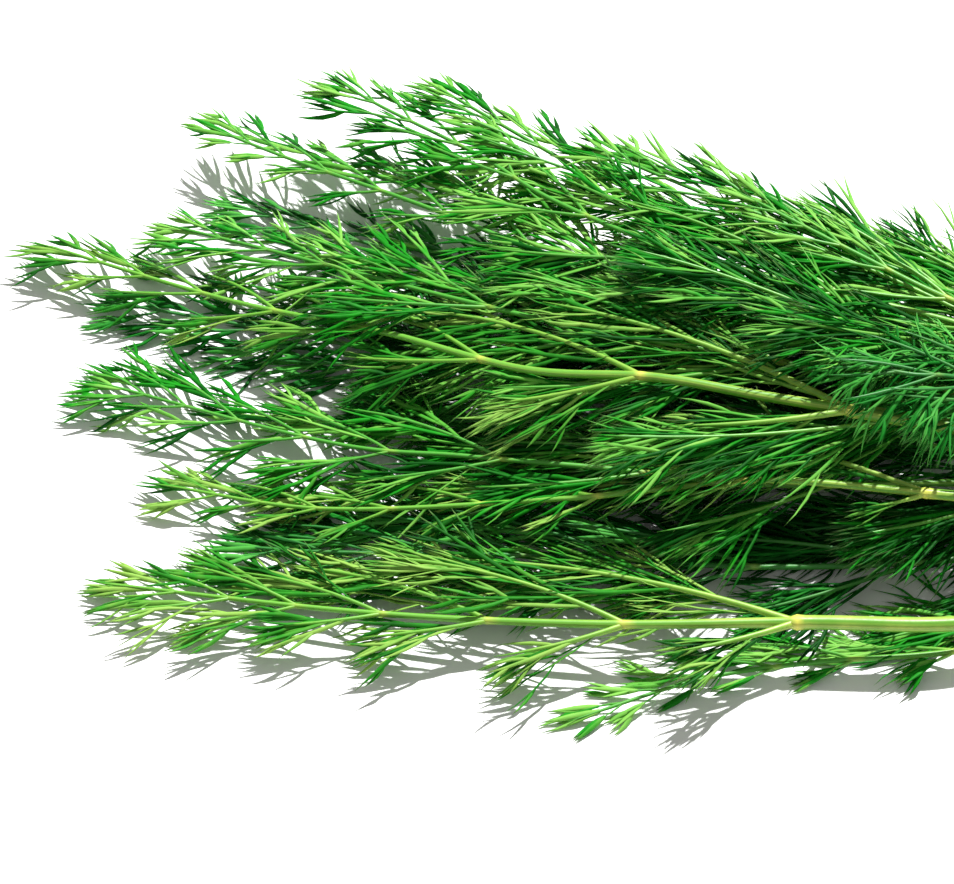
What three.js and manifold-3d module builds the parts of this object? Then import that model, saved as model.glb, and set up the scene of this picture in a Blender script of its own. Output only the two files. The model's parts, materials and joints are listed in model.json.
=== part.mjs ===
// A bunch of fresh dill, cut and laid on its side. Every leafy stem is one piece, as it grew: a smooth green
// stalk that runs on as the midrib of one large leaf. The midrib carries pairs of ribs, and the ribs carry
// thread-like leaflets. The stalks lie gathered in a low heap at +X, where a knife cut them across, and the
// leaves fan out towards -X and -Y and +Y. Millimetres, +Z up. The bunch lies on z = 0, and the origin is
// under the middle of its bounding box.
import * as THREE from "three";
import Module from "manifold-3d";

// The bunch as it lies
const CUT_X = 210; // where the knife went through the stalks
const HEAP_END_X = 180; // the stalks lie side by side up to here
const WAIST_X = 54; // where the leaves have spread into a pile
const FAN_EASE = 1.3; // above 1, the stalks leave the heap gently

// Stalk, midrib and ribs
const STALK_SIDES = 6;
const RIB_SIDES = 3;
const RING_STEP = 38; // the most between two rings of a stalk
const MIDRIB_TIP_RADIUS = 0.55;
const LEAF_END_TAPER = 0.72; // the share of its radius that the stalk keeps at the first ribs
const INTERNODE_RATIO = 0.8; // each gap between rib pairs against the one before it
const RIB_SPREAD = 25; // degrees between a rib and the midrib
const RIB_ROLL = 14; // degrees between the ribs that stand highest and lowest
const TURN_FORWARD = 0.75; // how far a rib or leaflet turns back towards its parent's direction
const RIB_DROOP = 0.05; // how far a rib sinks, as a share of its length
const RIB_RADIUS_SHARE = 0.006; // of the rib's length, with RIB_LEAST_RADIUS added
const RIB_LEAST_RADIUS = 0.75;
const LEAF_TIP = 0.6; // the most that a rib reaches, as a share of the midrib past it
const RIB_END_LENGTH = 8; // a rib's length where the midrib ends
const RIB_LENGTHS_VARY = 0.24;
const SPREADS_VARY = 0.4;
const RIB_TIP_RADIUS = 0.55;
const RIB_ROOT = 0.43; // a rib's radius where it leaves the midrib, as a share of the midrib's
const RIB_SPAN = 40; // the length of rib that one straight span stands for
const PLAIN_RIB = 25; // a rib up to this length is one span and has no leaflets

// Leaflets
const LEAFLET_RADIUS = 0.5;
const LEAFLET_LENGTH = 12; // at least, with up to LEAFLET_EXTRA and LEAFLET_SHARE added
const LEAFLET_EXTRA = 8;
const LEAFLET_SHARE = 0.4; // of what is left of the rib
const LEAFLET_MOST = 30;
const LEAFLET_SPREAD = 30; // degrees between a leaflet and its rib
const LEAFLET_ROLL = 80; // degrees between the leaflets that stand highest and lowest on a rib
const LEAFLET_DROOP = 0.04;
const LEAFLET_GAP = 31; // along a rib, between two leaflets of the same side

// Room between two stems that pass each other
const GAP = 0.35;
const BENDS = [0, 10, -10, 20, -20, 32, -32, 45, -45, 60, -60]; // degrees, tried in this order
const SHORTENED = 0.6;
const ROOT_SHARE = 0.35; // of a shoot's first length, where it may touch its neighbours on the same stem
const LOWEST = 0.4; // the height of a rib's or leaflet's middle line where it lies on the surface

const BRIGHT_GREEN = 0x5c9a35; // the stems that lie on top in the light
const LEAF_GREEN = 0x428a31;
const BLUE_GREEN = 0x397331; // young or shaded leaves

// One entry a stem: its green, place in the heap at the cut as [y, z], stalk radius, length of bare stalk,
// rib pairs, lengths of the first and last ribs towards -Y and then towards +Y as shares of the leaf, roll of
// the leaf in degrees and the points that stalk and midrib pass from the waist to the tip as [x, y, z].
const STEMS = [
  {
    name: "leafy_stem_front", green: BRIGHT_GREEN,
    heap: [-35, 2.1], radius: 2.6, bare: 205, pairs: 7, reach: [[0.14, 0.15], [0.5, 0.0]], roll: 12,
    route: [[WAIST_X, -74, 14], [7, -75, 15], [-50, -74, 13], [-110, -67, 9], [-181, -54, 5]],
  },
  {
    name: "leafy_stem_low_front", green: LEAF_GREEN,
    heap: [-39.8, 1.45], radius: 1.8, bare: 132, pairs: 7, reach: [[0.02, 0.02], [0.3, 0.0]], roll: -6,
    route: [[WAIST_X, -76, 5], [11, -80, 4], [-20, -85, 3], [-55, -98, 2]],
  },
  {
    name: "leafy_stem_shaded", green: BLUE_GREEN,
    heap: [-24, 1.5], radius: 1.9, bare: 116, pairs: 9, reach: [[0.18, 0.06], [0.32, 0.12]], roll: 0,
    route: [[WAIST_X, -47, 7], [0, -50, 7], [-60, -47, 8], [-120, -44, 6], [-148, -40, 4]],
  },
  {
    name: "leafy_stem_middle_low", green: BRIGHT_GREEN,
    heap: [-32.0, 6.0], radius: 1.9, bare: 168, pairs: 8, reach: [[0.03, 0.04], [0.36, 0.02]], roll: -8,
    route: [[WAIST_X, -42, 27], [1, -36, 27], [-31, -36, 23], [-56, -36, 19], [-120, -33, 11], [-168, -20, 6]],
  },
  {
    name: "leafy_stem_middle", green: LEAF_GREEN,
    heap: [-18.5, 1.45], radius: 1.8, bare: 132, pairs: 9, reach: [[0.2, 0.04], [0.35, 0.03]], roll: 5,
    route: [[WAIST_X, -28, 16], [0, -31, 19], [-45, -26, 20], [-83, -20, 18], [-120, -11, 13], [-189, 18, 6]],
  },
  {
    name: "leafy_stem_bright", green: BRIGHT_GREEN,
    heap: [-26.8, 5.9], radius: 2.6, bare: 190, pairs: 8, reach: [[0.16, 0.06], [0.36, 0.0]], roll: -3,
    route: [[WAIST_X, -27, 37], [0, -16, 38], [-31, -8, 37], [-66, 0, 31], [-106, 21, 23], [-150, 41, 14],
      [-207, 68, 9]],
  },
  {
    name: "leafy_stem_upper_middle", green: LEAF_GREEN,
    heap: [-21.2, 5.7], radius: 1.9, bare: 150, pairs: 8, reach: [[0.37, 0.02], [0.36, 0.0]], roll: 6,
    route: [[WAIST_X, -10, 32], [-17, 3, 36], [-49, 13, 33], [-89, 31, 27], [-125, 51, 19], [-172, 74, 11]],
  },
  {
    name: "leafy_stem_upper_left", green: LEAF_GREEN,
    heap: [-15.7, 5.7], radius: 2.0, bare: 140, pairs: 9, reach: [[0.16, 0.0], [0.3, 0.06]], roll: -5,
    route: [[WAIST_X, 1, 26], [0, 12, 31], [-33, 27, 31], [-88, 63, 26], [-134, 92, 19], [-160, 107, 18]],
  },
  {
    name: "leafy_stem_top", green: LEAF_GREEN,
    heap: [-10.2, 5.6], radius: 1.9, bare: 136, pairs: 8, reach: [[0.32, 0.04], [0.32, 0.0]], roll: 8,
    route: [[WAIST_X, 13, 35], [-17, 35, 38], [-56, 61, 33], [-79, 83, 30], [-108, 106, 27], [-123, 121, 25]],
  },
  {
    name: "leafy_stem_back", green: LEAF_GREEN,
    heap: [-2, 1.6], radius: 2.0, bare: 136, pairs: 8, reach: [[0.35, 0.04], [0.27, 0.02]], roll: -4,
    route: [[WAIST_X, 34, 17], [-4, 50, 25], [-38, 69, 29], [-61, 86, 30], [-93, 114, 28]],
  },
  {
    name: "leafy_stem_back_right", green: LEAF_GREEN,
    heap: [-4.7, 5.6], radius: 1.8, bare: 128, pairs: 7, reach: [[0.37, 0.06], [0.36, 0.04]], roll: 6,
    route: [[WAIST_X, 28, 31], [11, 47, 37], [-17, 61, 38], [-48, 83, 34]],
  },
  {
    name: "leafy_stem_back_top", green: LEAF_GREEN,
    heap: [-7.5, 9.3], radius: 1.7, bare: 134, pairs: 6, reach: [[0.38, 0.04], [0.2, 0.06]], roll: 0,
    route: [[WAIST_X, 17, 39], [25, 34, 42], [-6, 57, 42]],
  },
  {
    name: "leafy_stem_curly", green: BLUE_GREEN,
    heap: [-23.7, 9.6], radius: 1.6, bare: 118, pairs: 6, reach: [[0.52, 0.1], [0.52, 0.1]], roll: 0,
    route: [[WAIST_X, -17, 46], [36, -18, 50], [14, -10, 48]],
  },
  {
    name: "leafy_stem_under", green: BLUE_GREEN,
    heap: [-13, 1.5], radius: 1.9, bare: 120, pairs: 9, reach: [[0.31, 0.02], [0.28, 0.0]], roll: 3,
    route: [[WAIST_X, -8, 5], [0, 0, 6], [-60, 14, 6], [-120, 33, 5], [-188, 50, 4]],
  },
  {
    name: "leafy_stem_back_under", green: BLUE_GREEN,
    heap: [-7.5, 1.5], radius: 1.9, bare: 126, pairs: 9, reach: [[0.3, 0.02], [0.3, 0.0]], roll: -3,
    route: [[WAIST_X, 14, 6], [0, 27, 8], [-60, 48, 8], [-110, 69, 7], [-154, 88, 5]],
  },
];
const HEAP_MIDDLE_X = 150; // two places where every route has a point on its way to the waist
const FAN_MIDDLE_X = 100;
const CUT_STAGGER = 8; // the cut isn't quite square
const MIDDLE = [1.2, 11.3]; // of the bounding box, in the coordinates above

const UP = new THREE.Vector3(0, 0, 1);
const radians = THREE.MathUtils.degToRad;

// Repeatable draws from 0 to 1
function draws(seed) {
  let state = seed >>> 0;
  return () => {
    state = (state + 0x6d2b79f5) >>> 0;
    let mixed = Math.imul(state ^ (state >>> 15), state | 1);
    mixed ^= mixed + Math.imul(mixed ^ (mixed >>> 7), mixed | 61);
    return ((mixed ^ (mixed >>> 14)) >>> 0) / 4294967296;
  };
}

// A value that varies evenly about its mean, over the given share of it
const varied = (mean, share, draw) => mean * (1 + share * (draw() - 0.5));

// A stalk with its midrib as a line of points from the cut to the tip, and each point's distance from the cut
function routeOf(stem, draw) {
  const [heapY, heapZ] = stem.heap;
  const [, waistY, waistZ] = stem.route[0];
  const onTheWay = (x) => {
    const eased = Math.max(0, (HEAP_END_X - x) / (HEAP_END_X - WAIST_X)) ** FAN_EASE;
    return new THREE.Vector3(x, heapY + (waistY - heapY) * eased, heapZ + (waistZ - heapZ) * eased);
  };
  const guides = [CUT_X - CUT_STAGGER * draw(), HEAP_END_X, HEAP_MIDDLE_X, FAN_MIDDLE_X].map(onTheWay);
  guides.push(...stem.route.map((point) => new THREE.Vector3(...point)));
  const points = new THREE.CatmullRomCurve3(guides, false, "catmullrom").getPoints(120);
  const distances = [0];
  points.slice(1).forEach((point, i) => distances.push(distances[i] + point.distanceTo(points[i])));
  return { points, distances, length: distances.at(-1) };
}

// The point at a distance from the cut, with the route's direction there
function along(route, distance) {
  const last = route.points.length - 2;
  let i = route.distances.findIndex((d) => d > distance) - 1;
  if (i < 0 || i > last) i = distance <= 0 ? 0 : last;
  const span = route.distances[i + 1] - route.distances[i];
  const direction = route.points[i + 1].clone().sub(route.points[i]).normalize();
  const point = route.points[i].clone().lerp(route.points[i + 1], (distance - route.distances[i]) / span);
  return { point, direction };
}

// Two directions square to the given one, the first of them level and the second up
function across(direction) {
  const side = UP.clone().cross(direction).normalize();
  return { side, lift: direction.clone().cross(side) };
}

// To one side of the given direction, hand 1 or -1, and as many degrees above level
function aside(direction, hand, degrees) {
  const { side, lift } = across(direction);
  side.multiplyScalar(hand * Math.cos(radians(degrees)));
  return side.addScaledVector(lift, Math.sin(radians(degrees)));
}

// A closed tube round a line of points, flat where it lies on the surface. An end radius of 0 makes a point.
function tube(points, radii, sides) {
  const turn = sides === RIB_SIDES ? Math.PI / 2 : 0;
  const vertices = [];
  const faces = [];
  const pointed = radii.at(-1) === 0;
  const rings = pointed ? points.length - 1 : points.length;
  for (let ring = 0; ring < rings; ring++) {
    const before = points[Math.max(0, ring - 1)];
    const after = points[Math.min(points.length - 1, ring + 1)];
    const { side, lift } = across(after.clone().sub(before).normalize());
    for (let i = 0; i < sides; i++) {
      const angle = turn + (2 * Math.PI * i) / sides;
      const vertex = points[ring].clone();
      vertex.addScaledVector(side, radii[ring] * Math.cos(angle));
      vertex.addScaledVector(lift, radii[ring] * Math.sin(angle));
      vertices.push(vertex.x, vertex.y, Math.max(0, vertex.z));
    }
  }
  for (let ring = 0; ring < rings - 1; ring++)
    for (let i = 0; i < sides; i++) {
      const a = ring * sides + i;
      const b = ring * sides + ((i + 1) % sides);
      faces.push(a, b, b + sides, a, b + sides, a + sides);
    }
  for (let i = 1; i < sides - 1; i++) faces.push(0, i + 1, i);
  const lastRing = (rings - 1) * sides;
  if (pointed) {
    const tip = points.at(-1);
    vertices.push(tip.x, tip.y, Math.max(0, tip.z));
    for (let i = 0; i < sides; i++) faces.push(lastRing + i, lastRing + ((i + 1) % sides), rings * sides);
  } else for (let i = 1; i < sides - 1; i++) faces.push(lastRing, lastRing + i, lastRing + i + 1);
  return { vertices, faces };
}

// Every stalk, rib and leaflet that has been placed, as straight lengths
const placed = [];

function place(stemIndex, shoot) {
  shoot.points.slice(1).forEach((to, i) => {
    const radius = Math.max(shoot.radii[i], shoot.radii[i + 1]);
    placed.push({ stemIndex, shoot, from: shoot.points[i], to, radius });
  });
}

// The least distance between two straight lengths
function lengthsApart(p, q, r, s) {
  const u = q.clone().sub(p);
  const v = s.clone().sub(r);
  const w = p.clone().sub(r);
  const [a, b, c, d, e] = [u.dot(u), u.dot(v), v.dot(v), u.dot(w), v.dot(w)];
  const denominator = a * c - b * b;
  let atU = denominator > 1e-9 ? THREE.MathUtils.clamp((b * e - c * d) / denominator, 0, 1) : 0;
  const atV = THREE.MathUtils.clamp((b * atU + e) / c, 0, 1);
  atU = THREE.MathUtils.clamp((b * atV - d) / a, 0, 1);
  return w.addScaledVector(u, atU).addScaledVector(v, -atV).length();
}

// Whether a shoot stays clear of the other stems and, past its root, of the other shoots of its own stem
function isClear(stemIndex, parent, points, radii) {
  for (let i = 1; i < points.length; i++) {
    const radius = Math.max(radii[i - 1], radii[i]);
    const [from, to] = [points[i - 1], points[i]];
    const pastRoot = i === 1 ? from.clone().lerp(to, ROOT_SHARE) : from;
    for (const other of placed) {
      if (other.shoot === parent) continue;
      const own = other.stemIndex === stemIndex;
      const room = radius + other.radius + (own ? 0 : GAP);
      const reach = from.distanceTo(to) + other.from.distanceTo(other.to) + room;
      if (from.distanceTo(other.from) > reach) continue;
      if (lengthsApart(own ? pastRoot : from, to, other.from, other.to) < room) return false;
    }
  }
  return true;
}

// A rib or leaflet from its root on the parent's centre line: it leaves at an angle, turns forward and sinks
function shoot({ root, forward, side, length, spread, droop, spans }) {
  const start = forward.clone().multiplyScalar(Math.cos(radians(spread)));
  start.addScaledVector(side, Math.sin(radians(spread)));
  return Array.from({ length: spans + 1 }, (_, i) => {
    const share = i / spans;
    const turned = (TURN_FORWARD * share * share) / 2;
    const point = root.clone().addScaledVector(start, length * (share - turned));
    point.addScaledVector(forward, length * turned);
    point.z = Math.max(point.z - droop * length * share * share, LOWEST * Math.min(1, i));
    return point;
  });
}

// The first of several ways to lay a shoot that stays clear
function bentClear(stemIndex, parent, options, radiiOf) {
  for (const length of [options.length, options.length * SHORTENED])
    for (const bend of BENDS) {
      const side = options.side.clone().applyAxisAngle(options.forward, radians(bend));
      const points = shoot({ ...options, length, side });
      const radii = radiiOf(points.length, length);
      if (isClear(stemIndex, parent, points, radii)) return { points, radii, length };
    }
  return null;
}

// Radii at the points of a rib, which is slim at its root, and of a leaflet, which ends in a point
const ribRadii = (rootRadius) => (count, length) =>
  Array.from({ length: count }, (_, i) => {
    const full = RIB_LEAST_RADIUS + RIB_RADIUS_SHARE * length;
    return i === 0 ? rootRadius : THREE.MathUtils.lerp(full, RIB_TIP_RADIUS, i / (count - 1));
  });
const leafletRadii = () => [LEAFLET_RADIUS, 0];

// Shares of the leaf's length at which its pairs of ribs stand, closer together towards the tip
function nodeShares(pairs) {
  const whole = 1 - INTERNODE_RATIO ** (pairs + 1);
  return Array.from({ length: pairs }, (_, k) => (1 - INTERNODE_RATIO ** k) / whole);
}

function midribRadius(stem, leafShare) {
  const foot = stem.radius * LEAF_END_TAPER;
  return foot + (MIDRIB_TIP_RADIUS - foot) * leafShare ** 0.8;
}

// The stops with evenly placed marks between them, none further apart than a step
function stepped(stops, step) {
  return stops.flatMap((stop, i) => {
    const start = i === 0 ? stop : stops[i - 1];
    const count = Math.max(1, Math.ceil((stop - start) / step));
    return Array.from({ length: count }, (_, k) => start + ((stop - start) * (k + 1)) / count);
  });
}

// Stalk and midrib of every stem, with a ring of the tube wherever ribs stand
const stems = STEMS.map((stem, index) => {
  const draw = draws(1000 + index);
  const route = routeOf(stem, draw);
  const leafLength = route.length - stem.bare;
  const nodes = nodeShares(stem.pairs).map((share) => stem.bare + leafLength * share);
  const marks = stepped([0, route.points[0].x - HEAP_END_X, ...nodes, route.length], RING_STEP);
  const points = marks.map((mark) => along(route, mark).point);
  const radii = marks.map((mark) => {
    if (mark < stem.bare) return stem.radius * (1 - ((1 - LEAF_END_TAPER) * mark) / stem.bare);
    return mark > route.length - 1e-6 ? 0 : midribRadius(stem, (mark - stem.bare) / leafLength);
  });
  const stalk = { points, radii };
  place(index, stalk);
  return { ...stem, index, draw, route, leafLength, stalk, pieces: [tube(points, radii, STALK_SIDES)] };
});

// Ribs, in pairs, a left and a right one
for (const stem of stems) {
  stem.ribs = [];
  for (const share of nodeShares(stem.pairs)) {
    const { point, direction } = along(stem.route, stem.bare + stem.leafLength * share);
    for (const [i, hand] of [1, -1].entries()) {
      const side = aside(direction, hand, stem.roll + RIB_ROLL * (stem.draw() - 0.5));
      const [first, last] = stem.reach[i];
      const reached = Math.min(first + (last - first) * share, (1 - share) * LEAF_TIP);
      const length = varied(stem.leafLength * reached + RIB_END_LENGTH, RIB_LENGTHS_VARY, stem.draw);
      const spread = varied(RIB_SPREAD, SPREADS_VARY, stem.draw);
      const spans = length > PLAIN_RIB ? Math.max(2, Math.round(length / RIB_SPAN)) : 1;
      const rootRadius = RIB_ROOT * midribRadius(stem, share);
      const root = point.clone().addScaledVector(side, rootRadius);
      const options = { root, forward: direction, side, length, spread, droop: RIB_DROOP, spans };
      const rib = bentClear(stem.index, stem.stalk, options, ribRadii(rootRadius));
      if (!rib) continue;
      place(stem.index, rib);
      stem.pieces.push(tube(rib.points, rib.radii, RIB_SIDES));
      stem.ribs.push(rib);
    }
  }
}

// Leaflets, by turns to the left and the right of each rib
for (const stem of stems)
  stem.ribs.forEach((rib, ribIndex) => {
    const draw = draws(50000 + 1000 * stem.index + ribIndex);
    const count = rib.points.length > 2 ? Math.round((2 * rib.length) / LEAFLET_GAP) : 0;
    for (let i = 0; i < count; i++) {
      const share = (i + 0.9) / (count + 0.9);
      const spans = rib.points.length - 1;
      const span = Math.min(spans - 1, Math.floor(share * spans));
      const root = rib.points[span].clone().lerp(rib.points[span + 1], share * spans - span);
      const forward = rib.points[span + 1].clone().sub(rib.points[span]).normalize();
      const side = aside(forward, i % 2 ? 1 : -1, LEAFLET_ROLL * (draw() - 0.5));
      const fullLength = LEAFLET_LENGTH + LEAFLET_EXTRA * draw() + LEAFLET_SHARE * rib.length * (1 - share);
      const length = Math.min(fullLength, LEAFLET_MOST);
      const spread = varied(LEAFLET_SPREAD, SPREADS_VARY, draw);
      const options = { root, forward, side, length, spread, droop: LEAFLET_DROOP, spans: 1 };
      const leaflet = bentClear(stem.index, rib, options, leafletRadii);
      if (!leaflet) continue;
      place(stem.index, leaflet);
      stem.pieces.push(tube(leaflet.points, leaflet.radii, RIB_SIDES));
    }
  });

// Each stem's pieces joined into one solid
const wasm = await Module();
wasm.setup();

function solid({ vertices, faces }) {
  return new wasm.Manifold(
    new wasm.Mesh({
      numProp: 3,
      vertProperties: new Float32Array(vertices),
      triVerts: new Uint32Array(faces),
    }),
  );
}

function grownTogether(pieces) {
  const joined = wasm.Manifold.union(pieces.map(solid));
  const whole = joined.decompose().reduce((a, b) => (a.volume() > b.volume() ? a : b));
  const mesh = whole.getMesh();
  const geometry = new THREE.BufferGeometry();
  geometry.setAttribute("position", new THREE.BufferAttribute(new Float32Array(mesh.vertProperties), 3));
  geometry.setIndex(new THREE.BufferAttribute(new Uint32Array(mesh.triVerts), 1));
  geometry.computeVertexNormals();
  return geometry;
}

const bunch = new THREE.Group();
bunch.name = "dill_bunch";
for (const stem of stems) {
  const material = new THREE.MeshStandardMaterial({ color: stem.green, roughness: 0.5, metalness: 0 });
  const mesh = new THREE.Mesh(grownTogether(stem.pieces), material);
  mesh.name = stem.name;
  bunch.add(mesh);
}
bunch.position.set(-MIDDLE[0], -MIDDLE[1], 0);

export default bunch;
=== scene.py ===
import json
import math
import bpy
import numpy as np
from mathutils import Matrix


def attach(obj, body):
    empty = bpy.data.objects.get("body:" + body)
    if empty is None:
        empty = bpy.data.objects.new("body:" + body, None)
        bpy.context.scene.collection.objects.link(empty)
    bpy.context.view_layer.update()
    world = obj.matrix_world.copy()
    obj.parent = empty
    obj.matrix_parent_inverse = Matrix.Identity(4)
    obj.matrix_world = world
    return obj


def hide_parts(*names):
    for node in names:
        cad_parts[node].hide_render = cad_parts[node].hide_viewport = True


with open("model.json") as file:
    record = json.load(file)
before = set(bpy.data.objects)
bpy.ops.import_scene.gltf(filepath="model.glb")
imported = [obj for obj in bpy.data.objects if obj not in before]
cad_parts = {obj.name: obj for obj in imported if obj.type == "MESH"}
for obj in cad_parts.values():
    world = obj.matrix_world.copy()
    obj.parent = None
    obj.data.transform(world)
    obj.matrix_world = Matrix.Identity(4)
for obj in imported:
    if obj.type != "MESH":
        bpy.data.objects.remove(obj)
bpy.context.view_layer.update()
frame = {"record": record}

# How the stems lie
# A bunch of fresh dill, cut and laid on its side on a white table. Every stem grew in one piece: a smooth
# stalk, which runs on as the midrib of one large leaf. The stalks lie heaped at +X, where a knife cut them,
# and the leaves fan out towards -X. Everything here is in millimetres until it becomes a mesh.
MM = 0.001
MIDDLE = np.array([1.2, 11.3, 0.0])  # the middle of the bunch, which stands over the origin
CUT_X, CUT_STAGGER = 210, 8
HEAP_END_X, HEAP_MIDDLE_X, FAN_MIDDLE_X, WAIST_X = 180, 150, 100, 54
FAN_EASE = 1.3
ROUTE_SEED, ROUTE_SPANS = 1000, 120

# name: place in the heap at the cut, stalk radius, bare length, rib pairs, reach of the first and last ribs
# towards the front and towards the back, roll, and the points from the waist to the tip
STEMS = {
    "leafy_stem_front": ((-35, 2.1), 2.6, 205, 7, ((0.14, 0.15), (0.5, 0.0)), 12, [
        (WAIST_X, -74, 14), (7, -75, 15), (-50, -74, 13), (-110, -67, 9), (-181, -54, 5)]),
    "leafy_stem_low_front": ((-39.8, 1.45), 1.8, 132, 7, ((0.02, 0.02), (0.3, 0.0)), -6, [
        (WAIST_X, -76, 5), (11, -80, 4), (-20, -85, 3), (-55, -98, 2)]),
    "leafy_stem_shaded": ((-24, 1.5), 1.9, 116, 9, ((0.18, 0.06), (0.32, 0.12)), 0, [
        (WAIST_X, -47, 7), (0, -50, 7), (-60, -47, 8), (-120, -44, 6), (-148, -40, 4)]),
    "leafy_stem_middle_low": ((-32.0, 6.0), 1.9, 168, 8, ((0.03, 0.04), (0.36, 0.02)), -8, [
        (WAIST_X, -42, 27), (1, -36, 27), (-31, -36, 23), (-56, -36, 19), (-120, -33, 11), (-168, -20, 6)]),
    "leafy_stem_middle": ((-18.5, 1.45), 1.8, 132, 9, ((0.2, 0.04), (0.35, 0.03)), 5, [
        (WAIST_X, -28, 16), (0, -31, 19), (-45, -26, 20), (-83, -20, 18), (-120, -11, 13), (-189, 18, 6)]),
    "leafy_stem_bright": ((-26.8, 5.9), 2.6, 190, 8, ((0.16, 0.06), (0.36, 0.0)), -3, [
        (WAIST_X, -27, 37), (0, -16, 38), (-31, -8, 37), (-66, 0, 31), (-106, 21, 23), (-150, 41, 14),
        (-207, 68, 9)]),
    "leafy_stem_upper_middle": ((-21.2, 5.7), 1.9, 150, 8, ((0.37, 0.02), (0.36, 0.0)), 6, [
        (WAIST_X, -10, 32), (-17, 3, 36), (-49, 13, 33), (-89, 31, 27), (-125, 51, 19), (-172, 74, 11)]),
    "leafy_stem_upper_left": ((-15.7, 5.7), 2.0, 140, 9, ((0.16, 0.0), (0.3, 0.06)), -5, [
        (WAIST_X, 1, 26), (0, 12, 31), (-33, 27, 31), (-88, 63, 26), (-134, 92, 19), (-160, 107, 18)]),
    "leafy_stem_top": ((-10.2, 5.6), 1.9, 136, 8, ((0.32, 0.04), (0.32, 0.0)), 8, [
        (WAIST_X, 13, 35), (-17, 35, 38), (-56, 61, 33), (-79, 83, 30), (-108, 106, 27), (-123, 121, 25)]),
    "leafy_stem_back": ((-2, 1.6), 2.0, 136, 8, ((0.35, 0.04), (0.27, 0.02)), -4, [
        (WAIST_X, 34, 17), (-4, 50, 25), (-38, 69, 29), (-61, 86, 30), (-93, 114, 28)]),
    "leafy_stem_back_right": ((-4.7, 5.6), 1.8, 128, 7, ((0.37, 0.06), (0.36, 0.04)), 6, [
        (WAIST_X, 28, 31), (11, 47, 37), (-17, 61, 38), (-48, 83, 34)]),
    "leafy_stem_back_top": ((-7.5, 9.3), 1.7, 134, 6, ((0.38, 0.04), (0.2, 0.06)), 0, [
        (WAIST_X, 17, 39), (25, 34, 42), (-6, 57, 42)]),
    "leafy_stem_curly": ((-23.7, 9.6), 1.6, 118, 6, ((0.52, 0.1), (0.52, 0.1)), 0, [
        (WAIST_X, -17, 46), (36, -18, 50), (14, -10, 48)]),
    "leafy_stem_under": ((-13, 1.5), 1.9, 120, 9, ((0.31, 0.02), (0.28, 0.0)), 3, [
        (WAIST_X, -8, 5), (0, 0, 6), (-60, 14, 6), (-120, 33, 5), (-188, 50, 4)]),
    "leafy_stem_back_under": ((-7.5, 1.5), 1.9, 126, 9, ((0.3, 0.02), (0.3, 0.0)), -3, [
        (WAIST_X, 14, 6), (0, 27, 8), (-60, 48, 8), (-110, 69, 7), (-154, 88, 5)]),
}
SLOT = {sub["node"]: sub["material_slot"] for sub in frame["record"]["subparts"]}


def draws(seed):
    """Repeatable draws from 0 to 1."""
    state = seed & 0xFFFFFFFF

    def draw():
        nonlocal state
        state = (state + 0x6D2B79F5) & 0xFFFFFFFF
        mixed = (state ^ (state >> 15)) * (state | 1) & 0xFFFFFFFF
        mixed ^= (mixed + (mixed ^ (mixed >> 7)) * (mixed | 61)) & 0xFFFFFFFF
        return (mixed ^ (mixed >> 14)) / 4294967296

    return draw


def unit(v):
    return v / np.linalg.norm(v, axis=-1, keepdims=True)


def smooth_line(guides, spans):
    """A smooth line through the guide points."""
    g = np.array(guides, float)
    g = np.vstack([2 * g[0] - g[1], g, 2 * g[-1] - g[-2]])
    place = np.linspace(0, len(guides) - 1, spans + 1)
    at = np.minimum(place.astype(int), len(guides) - 2)
    w = (place - at)[:, None]
    a, b, c, d = g[at], g[at + 1], g[at + 2], g[at + 3]
    out, into = (c - a) / 2, (d - b) / 2
    return (2 * b - 2 * c + out + into) * w**3 + (3 * c - 3 * b - 2 * out - into) * w**2 + out * w + b


class Route:
    """A stalk with its midrib, from the cut to the tip."""

    def __init__(self, heap, waist_on, draw):
        _, waist_y, waist_z = waist_on[0]

        def on_the_way(x):
            eased = max(0.0, (HEAP_END_X - x) / (HEAP_END_X - WAIST_X)) ** FAN_EASE
            return x, heap[0] + (waist_y - heap[0]) * eased, heap[1] + (waist_z - heap[1]) * eased

        starts = [CUT_X - CUT_STAGGER * draw(), HEAP_END_X, HEAP_MIDDLE_X, FAN_MIDDLE_X]
        self.points = smooth_line([on_the_way(x) for x in starts] + waist_on, ROUTE_SPANS)
        steps = np.linalg.norm(np.diff(self.points, axis=0), axis=1)
        self.distances = np.concatenate([[0], np.cumsum(steps)])
        self.length = self.distances[-1]

    def along(self, distance):
        """The point at a distance from the cut, and the direction there."""
        i = int(np.clip(np.searchsorted(self.distances, distance, "right") - 1, 0, len(self.points) - 2))
        a, b = self.points[i], self.points[i + 1]
        share = (distance - self.distances[i]) / (self.distances[i + 1] - self.distances[i])
        return a + (b - a) * share, unit(b - a)


# Where the ribs stand
# Pairs of ribs leave the midrib at a slant, closer together towards the tip, turn forward and sag a little.
# A rib that would cross another stem is bent aside about its root, as it lies in the real pile.
INTERNODE_RATIO = 0.8
END_TAPER = 0.72
MIDRIB_TIP_RADIUS = 0.55
RING_STEP = 38
RIB_SPREAD, RIB_ROLL, SPREADS_VARY = 25, 14, 0.4
TURN_FORWARD = 0.75
RIB_DROOP = 0.05
RIB_END_LENGTH, RIB_LENGTHS_VARY = 8, 0.24
LEAF_TIP = 0.6  # the most that a rib reaches, as a share of the midrib past it
RIB_LEAST_RADIUS, RIB_RADIUS_SHARE, RIB_TIP_RADIUS, RIB_ROOT = 0.75, 0.006, 0.55, 0.43
RIB_SPAN, PLAIN_RIB = 40, 25
GAP = 0.35
BENDS = (0, 10, -10, 20, -20, 32, -32, 45, -45, 60, -60)
SHORTENED = 0.6
ROOT_SHARE = 0.35
LOWEST = 0.4


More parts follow.
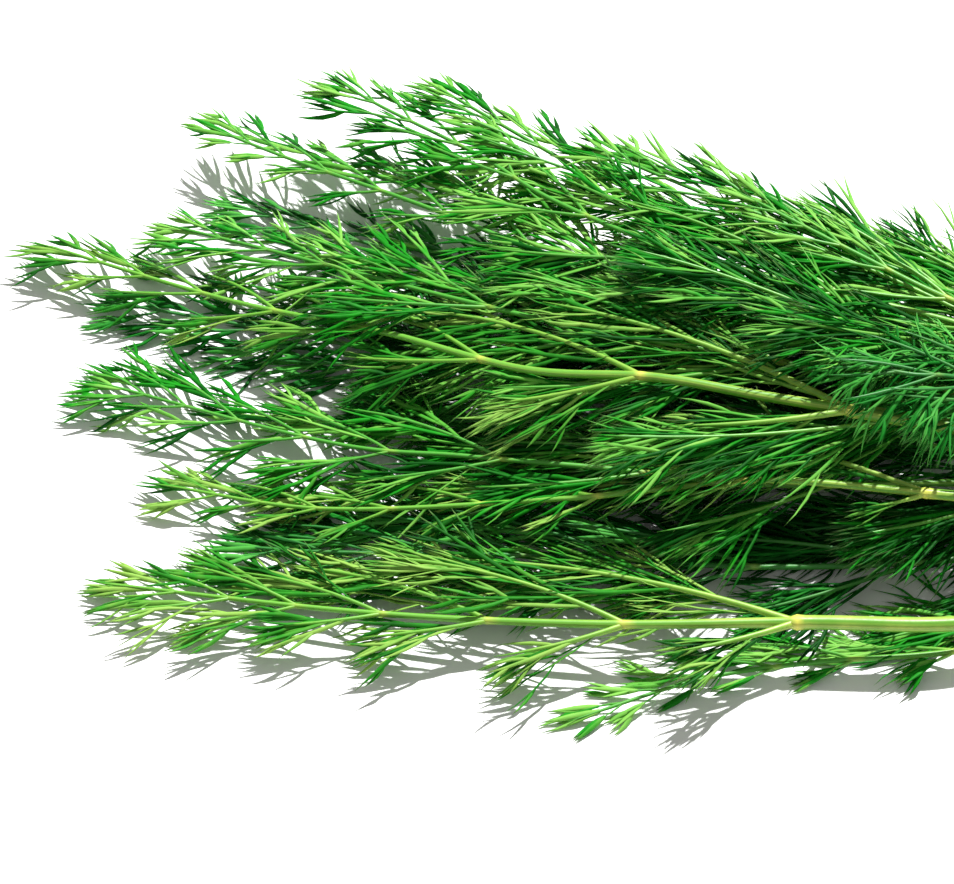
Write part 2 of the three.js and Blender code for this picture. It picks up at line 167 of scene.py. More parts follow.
def across(direction):
    side = unit(np.cross((0, 0, 1), direction))
    return side, np.cross(direction, side)


def aside(direction, hand, degrees):
    """To one side of a direction, hand 1 or -1, and as many degrees above level."""
    side, lift = across(direction)
    turn = math.radians(degrees)
    return side * hand * math.cos(turn) + lift * math.sin(turn)


def varied(mean, share, draw):
    return mean * (1 + share * (draw() - 0.5))


def turned(vector, axis, degrees):
    turn = math.radians(degrees)
    along_axis = axis * np.dot(axis, vector) * (1 - math.cos(turn))
    return vector * math.cos(turn) + np.cross(axis, vector) * math.sin(turn) + along_axis


def shoot(root, forward, side, length, spread, droop, spans):
    """A rib's or leaflet's middle line: it leaves at an angle, turns forward and sinks."""
    start = forward * math.cos(math.radians(spread)) + side * math.sin(math.radians(spread))
    share = np.linspace(0, 1, spans + 1)[:, None]
    bent = TURN_FORWARD * share**2 / 2
    points = root + start * length * (share - bent) + forward * length * bent
    points[:, 2] -= droop * length * share[:, 0] ** 2
    points[1:, 2] = np.maximum(points[1:, 2], LOWEST)
    return points


def midrib_radius(radius, share):
    foot = radius * END_TAPER
    return foot + (MIDRIB_TIP_RADIUS - foot) * share**0.8


def stalk_radius(route, radius, bare, distance):
    if distance < bare:
        return radius * (1 - (1 - END_TAPER) * distance / bare)
    return midrib_radius(radius, min(1, (distance - bare) / (route.length - bare)))


placed = {"from": np.zeros((0, 3)), "to": np.zeros((0, 3)), "radius": [], "stem": [], "shoot": []}


def place(stem, name, points, radii):
    placed["from"] = np.vstack([placed["from"], points[:-1]])
    placed["to"] = np.vstack([placed["to"], points[1:]])
    for i in range(len(points) - 1):
        placed["radius"].append(max(radii[i], radii[i + 1]))
        placed["stem"].append(stem)
        placed["shoot"].append(name)


def least_gaps(p, q, r, s):
    """The least distances between the straight lengths p to q and r to s."""
    u, v, w = q - p, s - r, p - r
    a, b, c = (u * u).sum(1), (u * v).sum(1), (v * v).sum(1)
    d, e = (u * w).sum(1), (v * w).sum(1)
    spread = a * c - b * b
    at_u = np.where(spread > 1e-9, np.clip((b * e - c * d) / np.where(spread > 1e-9, spread, 1), 0, 1), 0)
    at_v = np.clip((b * at_u + e) / c, 0, 1)
    at_u = np.clip((b * at_v - d) / a, 0, 1)
    return np.linalg.norm(w + u * at_u[:, None] - v * at_v[:, None], axis=1)


def is_clear(stem, parent, points, radii):
    own = np.array([other == stem for other in placed["stem"]])
    others = np.array([name != parent for name in placed["shoot"]])
    room = np.array(placed["radius"]) + np.where(own, 0, GAP)
    for i in range(len(points) - 1):
        start = np.repeat(points[i][None], len(own), 0)
        if i == 0:
            start[own] = points[0] + (points[1] - points[0]) * ROOT_SHARE
        end = np.repeat(points[i + 1][None], len(own), 0)
        gaps = least_gaps(start, end, placed["from"], placed["to"])
        if np.any(others & (gaps < room + max(radii[i], radii[i + 1]))):
            return False
    return True


stems = []
for number, (name, (heap, radius, bare, pairs, reach, roll, waist_on)) in enumerate(STEMS.items()):
    draw = draws(ROUTE_SEED + number)
    route = Route(heap, waist_on, draw)
    leaf = route.length - bare
    whole = 1 - INTERNODE_RATIO ** (pairs + 1)
    shares = [(1 - INTERNODE_RATIO**k) / whole for k in range(pairs)]
    stops = [0, route.points[0][0] - HEAP_END_X] + [bare + leaf * share for share in shares] + [route.length]
    marks = [0.0]
    for a, b in zip(stops[:-1], stops[1:]):
        count = max(1, math.ceil((b - a) / RING_STEP))
        marks += [a + (b - a) * (k + 1) / count for k in range(count)]
    radii = [stalk_radius(route, radius, bare, mark) for mark in marks[:-1]] + [0]
    place(number, (number, "stalk"), np.array([route.along(mark)[0] for mark in marks]), radii)
    stems.append(dict(name=name, number=number, draw=draw, route=route, radius=radius, bare=bare, leaf=leaf,
                      shares=shares, reach=reach, roll=roll, ribs=[]))

for stem in stems:
    draw = stem["draw"]
    for share in stem["shares"]:
        point, direction = stem["route"].along(stem["bare"] + stem["leaf"] * share)
        for (first, last), hand in zip(stem["reach"], (1, -1)):
            side = aside(direction, hand, stem["roll"] + RIB_ROLL * (draw() - 0.5))
            reached = min(first + (last - first) * share, (1 - share) * LEAF_TIP)
            length = varied(stem["leaf"] * reached + RIB_END_LENGTH, RIB_LENGTHS_VARY, draw)
            spread = varied(RIB_SPREAD, SPREADS_VARY, draw)
            spans = max(2, math.floor(length / RIB_SPAN + 0.5)) if length > PLAIN_RIB else 1
            root_radius = RIB_ROOT * midrib_radius(stem["radius"], share)
            root = point + side * root_radius
            ways = [(size, bend) for size in (length, length * SHORTENED) for bend in BENDS]
            for size, bend in ways:
                lie = dict(root=root, forward=direction, side=turned(side, direction, bend), length=size,
                           spread=spread, droop=RIB_DROOP)
                points = shoot(**lie, spans=spans)
                thick = RIB_LEAST_RADIUS + RIB_RADIUS_SHARE * size
                thinner = (thick - RIB_TIP_RADIUS) / spans
                radii = [root_radius] + [thick - thinner * i for i in range(1, spans + 1)]
                if is_clear(stem["number"], (stem["number"], "stalk"), points, radii):
                    place(stem["number"], (stem["number"], share, hand), points, radii)
                    stem["ribs"].append(dict(lie, share=share, hand=hand, radii=radii))
                    break


# Stalks, midribs and ribs
# The stalk of a dill leaf is juicy and smooth, with fine ridges along it and a waxy skin that shines softly.
# At its first joint, a small yellow swelling, it thins into the midrib, and each pair of ribs leaves the
# midrib at such a joint. The ribs are thinner still and as green as the leaflets where they end.
RIDGES = 14
STALK_RING_STEP = 2.0
RIDGE_HEIGHT = 0.05
PALE_BANDS, GREEN_BAND = 4, 0.15  # round the stalk, and how pale the ridges between them are
THINNER = 0.8  # the midrib's radius just past the first joint, as a share of the solid's there
MIDRIB_TIP = 0.42
JOINT_SWELLING, JOINT_LENGTH = 0.13, 1.4
RIB_SIDES, RIB_RING_STEP = 8, 5
RIB_FOOT, RIB_TIP = 0.8, 0.42  # radius at the midrib, as a share of the midrib's, and near the tip
POINTED = 12  # a midrib or rib narrows to a point over this length, like a leaflet
JOINT_YELLOW, RIB_YELLOW, RIB_FOOT_YELLOW = 0.9, 0.4, 3  # shares of the joint's colour, and length on a rib
PALE_END = 90  # the stalk is paler this far from the cut
# The three stalk greens are partly the plant's own tones and partly painted light. bright_green, for the
# stems that lie on top in the key light, is painted paler and yellower, as if sunlit. blue_green is painted
# deeper, as shade, for the stems that lie under the others, and is also the bluer skin of the young curled
# leaf.
SKIN = {
    "bright_green": dict(groove="#4E9222", ridge="#C6D664", joint="#E2DC62", cut="#CCDD82", leafy="#66A836"),
    "leaf_green": dict(groove="#3E8A1E", ridge="#A6CC54", joint="#CBD65C", cut="#BBD274", leafy="#4A9C32"),
    "blue_green": dict(groove="#276C22", ridge="#68A844", joint="#A4BE58", cut="#A5C169", leafy="#2C7C30"),
}


def linear(hex_colour):
    parts = [int(hex_colour[i:i + 2], 16) / 255 for i in (1, 3, 5)]
    return [c / 12.92 if c <= 0.04045 else ((c + 0.055) / 1.055) ** 2.4 for c in parts] + [1.0]


def node(tree, kind, inputs=(), **settings):
    made = tree.nodes.new(kind)
    for name, value in settings.items():
        setattr(made, name, value)
    for socket, value in dict(inputs).items():
        if isinstance(value, bpy.types.NodeSocket):
            tree.links.new(value, made.inputs[socket])
        else:
            made.inputs[socket].default_value = value
    return made


def new_material(name):
    material = bpy.data.materials.new(name)
    material.use_nodes = True
    tree = material.node_tree
    tree.nodes.clear()
    return material, tree


def stalk_skin(slot):
    material, tree = new_material(f"dill_stalk_skin_{slot}")
    colours = {part: linear(value) for part, value in SKIN[slot].items()}
    place = node(tree, "ShaderNodeTexCoord").outputs["Object"]
    # patches of lighter and darker green, about 6 mm across
    patches = node(tree, "ShaderNodeTexNoise", {"Vector": place, "Scale": 1 / (6 * MM), "Detail": 3.0})
    lit = node(tree, "ShaderNodeMapRange", {
        "Value": patches.outputs["Fac"], "From Min": 0.3, "From Max": 0.7, "To Min": 0.45, "To Max": 1.0})
    ridge = node(tree, "ShaderNodeAttribute", attribute_name="ridge")
    mixed = node(tree, "ShaderNodeMath", {0: ridge.outputs["Fac"], 1: lit.outputs[0]}, operation="MULTIPLY")
    colour = node(tree, "ShaderNodeMix", {
        "Factor": mixed.outputs[0], 6: colours["groove"], 7: colours["ridge"]}, data_type="RGBA").outputs[2]
    for part in ("leafy", "joint", "cut"):
        amount = node(tree, "ShaderNodeAttribute", attribute_name=part).outputs["Fac"]
        colour = node(tree, "ShaderNodeMix", {
            "Factor": amount, 6: colour, 7: colours[part]}, data_type="RGBA").outputs[2]
    # wax bloom, in specks of about 1 mm, breaks the shine
    bloom = node(tree, "ShaderNodeTexNoise", {"Vector": place, "Scale": 1 / (1 * MM), "Detail": 2.0})
    rough = node(tree, "ShaderNodeMapRange", {"Value": bloom.outputs["Fac"], "To Min": 0.28, "To Max": 0.5})
    fibres = node(tree, "ShaderNodeBump", {
        "Height": bloom.outputs["Fac"], "Distance": 0.05 * MM, "Strength": 0.4})
    skin = node(tree, "ShaderNodeBsdfPrincipled", {
        "Base Color": colour, "Roughness": rough.outputs[0], "Normal": fibres.outputs[0],
        "IOR": 1.42, "Subsurface Weight": 0.1, "Subsurface Radius": (0.6, 1.0, 0.25),
        "Subsurface Scale": 0.8 * MM})
    node(tree, "ShaderNodeOutputMaterial", {"Surface": skin.outputs[0]})
    return material


def tube_mesh(points, radii, sides, ridged):
    """Vertices and quads of a round tube, with ridges where ridged is above 0, that ends in a point."""
    ways = unit(np.gradient(points, axis=0))
    side = unit(np.cross((0, 0, 1), ways))
    lift = np.cross(ways, side)
    angle = np.linspace(0, 2 * math.pi, sides, endpoint=False)
    swing = 1 + ridged * np.where(np.arange(sides) % 2, -1, 1)
    ring = swing[None, :, None] * (
        np.cos(angle)[None, :, None] * side[:, None] + np.sin(angle)[None, :, None] * lift[:, None])
    vertices = points[:, None] + np.array(radii)[:, None, None] * ring
    rows = np.arange(len(points) - 1)[:, None] * sides
    i = np.arange(sides)[None]
    j = (i + 1) % sides
    quads = np.stack([rows + i, rows + j, rows + sides + j, rows + sides + i], -1)
    end = list(range((len(points) - 1) * sides, len(points) * sides))
    return vertices.reshape(-1, 3), quads.reshape(-1, 4).tolist() + [end]


def new_piece(name, vertices, faces, values, material, replaced):
    """A mesh object in metres, with one number at each vertex for each name in values."""
    placed_at = (np.asarray(vertices) - MIDDLE) * MM
    placed_at[:, 2] = np.maximum(placed_at[:, 2], 0)
    mesh = bpy.data.meshes.new(name)
    mesh.from_pydata(placed_at.tolist(), [], faces)
    for value_name, numbers in values.items():
        attribute = mesh.attributes.new(value_name, "FLOAT", "POINT")
        attribute.data.foreach_set("value", np.asarray(numbers, "f"))
    mesh.shade_smooth()
    mesh.materials.append(material)
    piece = bpy.data.objects.new(name, mesh)
    bpy.context.scene.collection.objects.link(piece)
    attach(piece, "root")
    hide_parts(replaced)
    return piece


skins = {slot: stalk_skin(slot) for slot in SKIN}
for stem in stems:
    route, bare, leaf = stem["route"], stem["bare"], stem["leaf"]
    distances = np.linspace(0, route.length, round(route.length / STALK_RING_STEP))
    points = np.array([route.along(d)[0] for d in distances])
    joints = np.array([bare + leaf * share for share in stem["shares"]])
    nearness = np.exp(-((distances[:, None] - joints[None]) / JOINT_LENGTH) ** 2)
    swelling = (nearness * np.linspace(1, 0.1, len(joints)) ** 1.5).max(1)
    past = np.clip((distances - bare) / leaf, 0, 1)
    thin_foot = stem["radius"] * END_TAPER * THINNER
    midrib = thin_foot + (MIDRIB_TIP - thin_foot) * past**0.8
    radii = np.array([stalk_radius(route, stem["radius"], bare, d) for d in distances])
    radii = np.where(distances > bare + 1, midrib, radii) * (1 + JOINT_SWELLING * swelling)
    radii *= np.clip((route.length - distances) / POINTED, 0.12, 1) ** 0.7
    sides = 2 * RIDGES
    vertices, faces = tube_mesh(points, radii, sides, RIDGE_HEIGHT)
    band = 0.5 + 0.5 * np.sin(np.arange(sides) * 2 * math.pi * PALE_BANDS / sides + stem["number"])
    pale = np.where(np.arange(sides) % 2, 0.5, 1.0) * (GREEN_BAND + (1 - GREEN_BAND) * band)
    values = {
        "ridge": np.tile(pale, len(points)),
        "joint": np.repeat(swelling * JOINT_YELLOW, sides),
        "cut": np.repeat(np.clip(1 - distances / PALE_END, 0, 1) * 0.6, sides),
        "leafy": np.repeat(np.clip((past - 0.02) / 0.5, 0, 1), sides),
    }
    for rib in stem["ribs"]:
        count = max(4, round(rib["length"] / RIB_RING_STEP))
        lie = {key: rib[key] for key in ("root", "forward", "side", "length", "spread", "droop")}
        lie["root"] = lie["root"] - lie["side"] * rib["radii"][0]
        rib["line"] = shoot(**lie, spans=count)
        foot = RIB_FOOT * (thin_foot + (MIDRIB_TIP - thin_foot) * rib["share"] ** 0.8)
        run = np.linspace(0, 1, count + 1)
        thickness = foot + (min(foot, RIB_TIP) - foot) * run**0.7
        thickness *= np.clip((1 - run) * rib["length"] / POINTED, 0.12, 1) ** 0.7
        rib_vertices, rib_faces = tube_mesh(rib["line"], thickness, RIB_SIDES, 0.05)
        start = len(vertices)
        faces += [[start + corner for corner in face] for face in rib_faces]
        vertices = np.vstack([vertices, rib_vertices])
        yellow = RIB_YELLOW * (1 - rib["share"]) * np.exp(-(run * rib["length"] / RIB_FOOT_YELLOW) ** 2)
        added = {
            "ridge": np.tile(np.where(np.arange(RIB_SIDES) % 2, 0.25, 0.85), count + 1),
            "joint": np.repeat(yellow, RIB_SIDES),
            "cut": np.zeros(len(rib_vertices)),
            "leafy": np.repeat(np.maximum(run, min(1, 0.2 + 1.6 * rib["share"])), RIB_SIDES),
        }
        values = {key: np.concatenate([values[key], added[key]]) for key in values}
    new_piece(stem["name"] + "_stalk", vertices, faces, values, skins[SLOT[stem["name"]]], stem["name"])


# Cut ends
# A knife went straight across the stalks. The cut shows a moist ring of green skin round pale, spongy pith,
# which has dried and sunk a little in the middle.
# share of the stalk's radius, and millimetres outwards
PITH_RINGS = ((1.0, 0.0), (0.9, 0.02), (0.7, -0.12), (0.35, -0.35), (0.0, -0.4))
PITH_SIDES = 28


def cut_pith():
    material, tree = new_material("dill_pith_cut_with_a_knife")
    place = node(tree, "ShaderNodeTexCoord").outputs["Object"]
    rim = node(tree, "ShaderNodeAttribute", attribute_name="rim").outputs["Fac"]
    # sponge cells of about 0.3 mm
    cells = node(tree, "ShaderNodeTexVoronoi", {"Vector": place, "Scale": 1 / (0.3 * MM)})
    pale = node(tree, "ShaderNodeMix", {
        "Factor": cells.outputs["Distance"], 6: linear("#E9EFCB"), 7: linear("#C3D49A")}, data_type="RGBA")
    ringed = node(tree, "ShaderNodeMix", {
        "Factor": rim, 6: pale.outputs[2], 7: linear("#7FA544")}, data_type="RGBA")
    dents = node(tree, "ShaderNodeBump", {
        "Height": cells.outputs["Distance"], "Distance": 0.08 * MM, "Strength": 0.5})
    flesh = node(tree, "ShaderNodeBsdfPrincipled", {
        "Base Color": ringed.outputs[2], "Normal": dents.outputs[0], "Roughness": 0.45, "IOR": 1.38,
        "Subsurface Weight": 0.2, "Subsurface Radius": (1.0, 1.0, 0.5), "Subsurface Scale": 0.8 * MM})
    node(tree, "ShaderNodeOutputMaterial", {"Surface": flesh.outputs[0]})
    return material


pith = cut_pith()
for stem in stems:
    point, direction = stem["route"].along(0)
    side, lift = across(direction)
    angle = np.linspace(0, 2 * math.pi, PITH_SIDES, endpoint=False)
    round_ring = np.cos(angle)[:, None] * side + np.sin(angle)[:, None] * lift
    rings = [point - direction * out + round_ring * share * stem["radius"] * (1 + RIDGE_HEIGHT / 2)
             for share, out in PITH_RINGS[:-1]]
    vertices = np.vstack(rings + [point - direction * PITH_RINGS[-1][1]])
    faces = []
    for row in range(len(rings) - 1):
        for i in range(PITH_SIDES):
            j = (i + 1) % PITH_SIDES
            faces.append([row * PITH_SIDES + j, row * PITH_SIDES + i, (row + 1) * PITH_SIDES + i,
                          (row + 1) * PITH_SIDES + j])
    last = (len(rings) - 1) * PITH_SIDES
    faces += [[last + (i + 1) % PITH_SIDES, last + i, len(vertices) - 1] for i in range(PITH_SIDES)]
    rim = np.zeros(len(vertices))
    rim[:PITH_SIDES] = 1.0
    rim[PITH_SIDES:2 * PITH_SIDES] = 0.7
    new_piece(stem["name"] + "_cut", vertices, faces, {"rim": rim}, pith, stem["name"])


# Leaflets
# Each rib carries leaflets in pairs, and each leaflet forks like an antler into soft green threads, 1 to 2 mm
# wide and flat along the top, which sweep towards the leaf's tip and end in a fine point. The skin is deep
# green to yellow-green from one leaflet to the next, with a satin wax and paler tips.
PAIR_GAP, WIDER_GAP = 4.2, 0.8  # wider by this share at the tip of the leaf
FIRST_PAIR, LAST_PAIR = 6, 15  # the least distances from a rib's foot and from its tip
LEAFLET_LENGTH, LEAFLET_EXTRA, LEAFLET_SHARE, LEAFLET_MOST = 18, 14, 0.4, 42
LANCE, PAST_THE_TIP = 0.9, 8.5  # the most, as a share of the rest of the rib, and as many mm more
LEAFLET_SPREAD = (9, 29)
NARROW = 40  # leaflets on ribs shorter than this lie closer to the rib
FORKS, SECOND_FORKS, FORKS_VARY = (0.18, 0.34, 0.5, 0.66), (0.4,), 0.07  # shares of the thread's length
FORK_LENGTH, FORK_SPREAD, FORK_SLOPE = (0.65, 1.1), (12, 34), (-65, 15)
LONG_FORK = 14  # a fork longer than this has a second one
THREAD_WIDTH, WIDER = 1.02, 0.75  # wider by this share at the tip of the leaf
THREAD_SECTION = ((-1, 0), (-0.5, 0.45), (0.5, 0.45), (1, 0), (0, -0.5))
THREAD_RUN = (0, 0.2, 0.45, 0.74, 1.0)  # where its rings are; the last is one vertex
THREAD_SHAPE = (0.6, 0.95, 1.0, 0.55)  # the width at the rings, as a share of the most
THREAD_ROLL = (-0.8, 0.8)
LEAFLET_SEED = 7000

# how the leaflets of most leaves grow, and those of the one young leaf that curls
PLAIN = dict(size=1.0, gaps=1.0, slope=(-75, 0), spread=1.0, bend=(0.3, 1.3), curl=0.1, droop=0.04,
             fork_spread=1.0, fork_bend=(0.4, 1.4), fork_curl=0.1, least_fork=8, tint=-0.02)
CURLED = dict(size=0.75, gaps=0.6, slope=(-75, 0), spread=1.8, bend=(-0.8, 1.3), curl=0.25, droop=0.3,
              fork_spread=1.6, fork_bend=(-0.8, 1.4), fork_curl=0.3, least_fork=4, tint=0.1)
HABITS = {"leafy_stem_curly": CURLED}
# the ribs on the lower half of one leaf are short, with 3 pairs of leaflets in a tuft
TUFTED, TUFTS_END, TUFT = "leafy_stem_low_front", 0.5, 3

# The three leaflet greens are partly the plant's own tones and partly painted light. bright_green, for the
# stems that lie on top in the key light, is painted lighter and yellower. blue_green is painted deeper, as
# shade, for the stems that lie under the others, and is also the bluer green of the young curled leaf.
LEAF = {
    "bright_green": ("#0A480D", "#2C8620", "#88B250", "#A6C47C"),
    "leaf_green": ("#064A0A", "#1A8A18", "#7AB64E", "#9CC07A"),
    "blue_green": ("#06440C", "#14721E", "#50A442", "#80B868"),
}
TINTS, TINTS_VARY = (0.2, 0.45, 0.8), 0.08  # deep, middle and light leaflets
TIPWARD_TINT = 0.3  # how much lighter the green is at the tip of the leaf
PAINTED_SHADE_TINT = 0.32  # painted shade: how much deeper the green is painted on the stems that lie under the others
SHADE_LEFT = 0.4  # the share of that at the tips of their leaves
UNDERNEATH = ("leafy_stem_shaded", "leafy_stem_middle", "leafy_stem_under", "leafy_stem_back_under")


def leaf_skin(slot):
    material, tree = new_material(f"dill_leaflet_skin_{slot}")
    dark, middle, light, tip = [linear(value) for value in LEAF[slot]]
    place = node(tree, "ShaderNodeTexCoord").outputs["Object"]
    tint = node(tree, "ShaderNodeAttribute", attribute_name="tint").outputs["Fac"]
    tipward = node(tree, "ShaderNodeAttribute", attribute_name="tipward").outputs["Fac"]
    # lighter and darker stretches of about 8 mm along the threads
    patches = node(tree, "ShaderNodeTexNoise", {"Vector": place, "Scale": 1 / (8 * MM), "Detail": 2.0})
    moved = node(tree, "ShaderNodeMath", {0: patches.outputs["Fac"], 1: -0.5}, operation="ADD")
    tinted = node(tree, "ShaderNodeMath", {0: moved.outputs[0], 1: 0.8, 2: tint}, operation="MULTIPLY_ADD")
    greens = node(tree, "ShaderNodeValToRGB", {"Fac": tinted.outputs[0]})
    stops = greens.color_ramp.elements
    stops[0].position, stops[0].color = 0.1, dark
    stops[1].position, stops[1].color = 0.95, light
    between = stops.new(0.5)
    between.color = middle
    tips = node(tree, "ShaderNodeMapRange", {
        "Value": tipward, "From Min": 0.75, "From Max": 1.0, "To Max": 0.5})
    green = node(tree, "ShaderNodeMix", {
        "Factor": tips.outputs[0], 6: greens.outputs[0], 7: tip}, data_type="RGBA")
    # wax in specks of about 0.8 mm
    wax = node(tree, "ShaderNodeTexNoise", {"Vector": place, "Scale": 1 / (0.8 * MM), "Detail": 1.0})
    rough = node(tree, "ShaderNodeMapRange", {"Value": wax.outputs["Fac"], "To Min": 0.42, "To Max": 0.62})
    skin = node(tree, "ShaderNodeBsdfPrincipled", {
        "Base Color": green.outputs[2], "Roughness": rough.outputs[0], "IOR": 1.42,
        "Specular IOR Level": 0.12, "Subsurface Weight": 0.06, "Subsurface Radius": (0.5, 1.0, 0.2),
        "Subsurface Scale": 0.5 * MM})
    node(tree, "ShaderNodeOutputMaterial", {"Surface": skin.outputs[0]})
    return material


def thread_lines(threads, shares):
    """Points and directions of many threads at the given shares of their length, one row a thread."""
    s = np.asarray(shares)[..., None]
    lean = np.radians(threads["spread"])[:, None]
    start = threads["forward"] * np.cos(lean) + threads["side"] * np.sin(lean)
    normal = np.cross(threads["forward"], threads["side"])[:, None]
    start, forward = start[:, None], threads["forward"][:, None]
    length, bend, curl = (threads[key][:, None, None] for key in ("length", "bend", "curl"))
    bent = bend * s**2 / 2
    path = start * (s - bent) + forward * bent + normal * curl * s**2
    points = threads["root"][:, None] + length * path
    points[..., 2] -= (threads["droop"] * threads["length"])[:, None] * s[..., 0] ** 2
    return points, unit(start * (1 - bend * s) + forward * bend * s + 2 * normal * curl * s)


def thread_mesh(threads):
    count, rings, sides = len(threads["root"]), len(THREAD_RUN), len(THREAD_SECTION)
    points, ways = thread_lines(threads, np.broadcast_to(THREAD_RUN, (count, rings)))
    points[..., 2] = np.maximum(points[..., 2], LOWEST)
    flat = unit(np.cross((0, 0, 1), ways))
    lift = np.cross(ways, flat)
    turn = threads["roll"][:, None, None]
    across_way = flat * np.cos(turn) + lift * np.sin(turn)
    up_way = np.cross(ways, across_way)
    half = (threads["width"][:, None] / 2 * np.asarray(THREAD_SHAPE)[None])[..., None, None]
    section = np.asarray(THREAD_SECTION)
    body = points[:, :-1, None] + half * (
        section[:, :1] * across_way[:, :-1, None] + section[:, 1:] * up_way[:, :-1, None])
    each = (rings - 1) * sides + 1
    vertices = np.concatenate([body.reshape(count, -1, 3), points[:, -1:]], 1)
    first = np.arange(count)[:, None, None] * each
    row = np.arange(rings - 2)[None, :, None] * sides
    i = np.arange(sides)[None, None]
    j = (i + 1) % sides
    ring = first + row
    quads = np.stack([ring + i, ring + sides + i, ring + sides + j, ring + j], -1)
    last = first[:, 0] + (rings - 2) * sides
    tips = np.stack([last + i[0], np.broadcast_to(first[:, 0] + each - 1, (count, sides)), last + j[0]], -1)
    along = np.append(np.repeat(THREAD_RUN[:-1], sides), 1.0)
    values = {"tint": np.repeat(threads["tint"], each), "tipward": np.tile(along, count)}
    return vertices.reshape(-1, 3), quads.reshape(-1, 4).tolist() + tips.reshape(-1, 3).tolist(), values


def forked(threads, rng, shares, habit):
    """The side threads of many leaflets, one for each of the shares of their length."""
    count = len(threads["root"])
    vary = rng.uniform(-FORKS_VARY, FORKS_VARY, (count, len(shares)))
    shares = np.asarray(shares)[None] + vary
    points, ways = thread_lines(threads, shares)
    hand = np.where((np.arange(shares.shape[1])[None] + np.arange(count)[:, None]) % 2, 1, -1)
    level = unit(np.cross((0, 0, 1), ways))
    lift = np.cross(ways, level)
    slope = np.radians(rng.uniform(*FORK_SLOPE, hand.shape))[..., None]
    side = level * hand[..., None] * np.cos(slope) + lift * np.sin(slope)
    length = threads["length"][:, None] * (1 - shares) * rng.uniform(*FORK_LENGTH, hand.shape)
    more = dict(
        root=points, forward=ways, side=side, length=length,
        spread=rng.uniform(*FORK_SPREAD, hand.shape) * habit["fork_spread"],
        bend=rng.uniform(*habit["fork_bend"], hand.shape),
        curl=rng.normal(0, habit["fork_curl"], hand.shape),
        roll=rng.uniform(*THREAD_ROLL, hand.shape),
        droop=np.full(hand.shape, habit["droop"]),
        width=threads["width"][:, None] * rng.uniform(0.8, 1, hand.shape),
        tint=np.clip(threads["tint"][:, None] + rng.normal(0, 0.07, hand.shape), 0, 1))
    kept = length > habit["least_fork"]
    return {key: value[kept] for key, value in more.items()}


leaf_skins = {slot: leaf_skin(slot) for slot in LEAF}
for stem in stems:
    name = stem["name"]
    rng = np.random.default_rng(LEAFLET_SEED + stem["number"])
    habit = HABITS.get(name, PLAIN)
    lines = [(rib["line"], rib["length"], rib["share"]) for rib in stem["ribs"]]
    tip_start = stem["bare"] + stem["leaf"] * stem["shares"][-1]
    tip_stops = np.linspace(tip_start, stem["route"].length, 8)
    tip_line = np.array([stem["route"].along(d)[0] for d in tip_stops])
    lines.append((tip_line, stem["route"].length - tip_start, 1.0))
    parts = {key: [] for key in ("root", "forward", "side", "length", "spread", "tint", "outer")}
    for line, length, stem_share in lines:
        tuft = name == TUFTED and stem_share < TUFTS_END
        gap = PAIR_GAP * habit["gaps"] * (1 + WIDER_GAP * stem_share)
        room = length - FIRST_PAIR - LAST_PAIR
        pairs = max(TUFT if tuft else 1, round(room / gap))
        splay = habit["spread"] * np.clip(length / NARROW, 1 if tuft else 0.4, 1)
        # painted shade: the leaflets of the stems underneath are painted a deeper green, less so towards
        # their tips
        shade = PAINTED_SHADE_TINT * (1 - (1 - SHADE_LEFT) * stem_share) if name in UNDERNEATH else 0
        mood = rng.normal(TIPWARD_TINT * stem_share + habit["tint"] - shade, TINTS_VARY)
        for k in range(pairs):
            for hand in (1, -1):
                distance = FIRST_PAIR + max(room, 1) * (k + rng.uniform(0.2, 0.8)) / pairs
                at = min(distance / length, 0.98) * (len(line) - 1)
                i = min(int(at), len(line) - 2)
                forward = unit(line[i + 1] - line[i])
                left = length - distance
                full = LEAFLET_LENGTH + LEAFLET_EXTRA * rng.random() + LEAFLET_SHARE * left
                tint = mood + rng.choice(TINTS) + rng.normal(0, TINTS_VARY)
                parts["root"].append(line[i] + (line[i + 1] - line[i]) * (at - i))
                parts["forward"].append(forward)
                parts["spread"].append(rng.uniform(*LEAFLET_SPREAD) * splay)
                parts["outer"].append(0.6 * stem_share + 0.4 * distance / length)
                parts["side"].append(aside(forward, hand, rng.uniform(*habit["slope"])))
                parts["length"].append(habit["size"] * min(full, LEAFLET_MOST, LANCE * left + PAST_THE_TIP))
                parts["tint"].append(np.clip(tint, 0, 1))
    leaflets = {key: np.array(value) for key, value in parts.items()}
    outer = leaflets.pop("outer")
    count = len(outer)
    width = THREAD_WIDTH * habit["size"] * (1 + WIDER * outer)
    leaflets.update(
        bend=rng.uniform(*habit["bend"], count) * (1 - 0.5 * outer),
        curl=rng.normal(0, habit["curl"], count),
        roll=rng.uniform(*THREAD_ROLL, count),
        droop=np.full(count, habit["droop"]),
        width=width * rng.uniform(0.85, 1.15, count))
    forks = forked(leaflets, rng, FORKS, habit)
    long_forks = {key: value[forks["length"] > LONG_FORK * habit["size"]] for key, value in forks.items()}
    groups = [leaflets, forks, forked(long_forks, rng, SECOND_FORKS, habit)]
    threads = {key: np.concatenate([group[key] for group in groups]) for key in forks}
    vertices, faces, values = thread_mesh(threads)
    new_piece(name + "_leaflets", vertices, faces, values, leaf_skins[SLOT[name]], name)


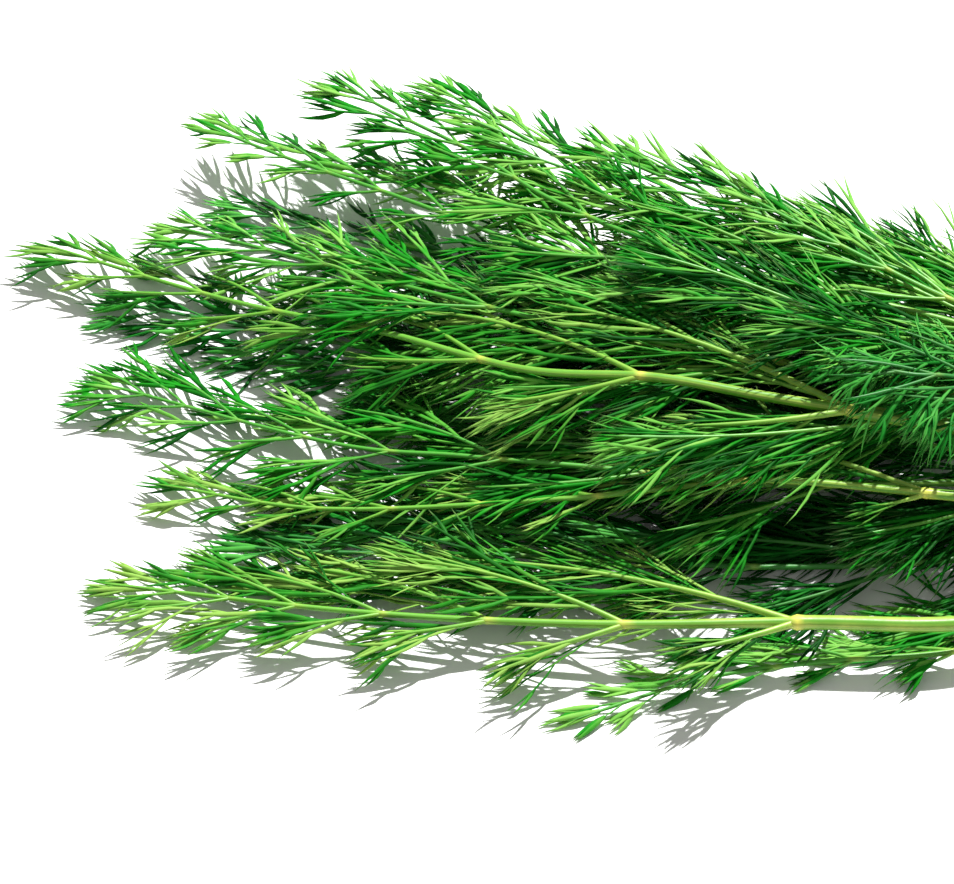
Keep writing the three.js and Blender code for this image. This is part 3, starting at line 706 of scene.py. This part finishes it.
# Table
# A plain white matt table top.
TABLE_SIZE = 6.0
table_mesh = bpy.data.meshes.new("table")
half = TABLE_SIZE / 2
corners = [(-half, -half, 0), (half, -half, 0), (half, half, 0), (-half, half, 0)]
table_mesh.from_pydata(corners, [], [(0, 1, 2, 3)])
table = bpy.data.objects.new("table", table_mesh)
bpy.context.scene.collection.objects.link(table)
table.location.z = -0.0002
white, tree = new_material("white_table_top")
grain = node(tree, "ShaderNodeTexNoise", {
    "Vector": node(tree, "ShaderNodeTexCoord").outputs["Object"], "Scale": 1 / (40 * MM), "Detail": 2.0})
shade = node(tree, "ShaderNodeMix", {
    "Factor": grain.outputs["Fac"], 6: linear("#F1F1EF"), 7: linear("#F6F6F5")}, data_type="RGBA")
top = node(tree, "ShaderNodeBsdfPrincipled", {"Base Color": shade.outputs[2], "Roughness": 0.8})
node(tree, "ShaderNodeOutputMaterial", {"Surface": top.outputs[0]})
table_mesh.materials.append(white)

# Light and camera
# A studio key from behind and above, a little to the right, and a broad white fill. The camera looks down
# on the front of the bunch at 50 degrees.
SUN_ELEVATION, SUN_AZIMUTH = 58, 69  # azimuth from +X towards +Y
SUN_STRENGTH, SUN_WIDTH = 6.4, 1.5
FILL_STRENGTH = 0.39
sun = bpy.data.objects.new("key", bpy.data.lights.new("key", "SUN"))
sun.data.energy = SUN_STRENGTH
sun.data.angle = math.radians(SUN_WIDTH)
sun.rotation_euler = (0, math.radians(90 - SUN_ELEVATION), math.radians(SUN_AZIMUTH))
bpy.context.scene.collection.objects.link(sun)
world = bpy.data.worlds.new("white_studio")
world.use_nodes = True
world.node_tree.nodes["Background"].inputs["Color"].default_value = (1.0, 1.0, 0.97, 1.0)
world.node_tree.nodes["Background"].inputs["Strength"].default_value = FILL_STRENGTH
bpy.context.scene.world = world

LENS, SENSOR = 150, 36
CAMERA_DISTANCE, CAMERA_ELEVATION = 1.1135, 50
AIM = (np.array([-79, 0, 0]) - MIDDLE) * MM
camera = bpy.data.objects.new("camera", bpy.data.cameras.new("camera"))
camera.data.lens = LENS
camera.data.sensor_width = SENSOR
down = math.radians(CAMERA_ELEVATION)
camera.location = AIM + CAMERA_DISTANCE * np.array([0, -math.cos(down), math.sin(down)])
camera.rotation_euler = (math.radians(90) - down, 0, 0)
bpy.context.scene.collection.objects.link(camera)
bpy.context.scene.camera = camera
bpy.context.scene.view_settings.view_transform = "Standard"
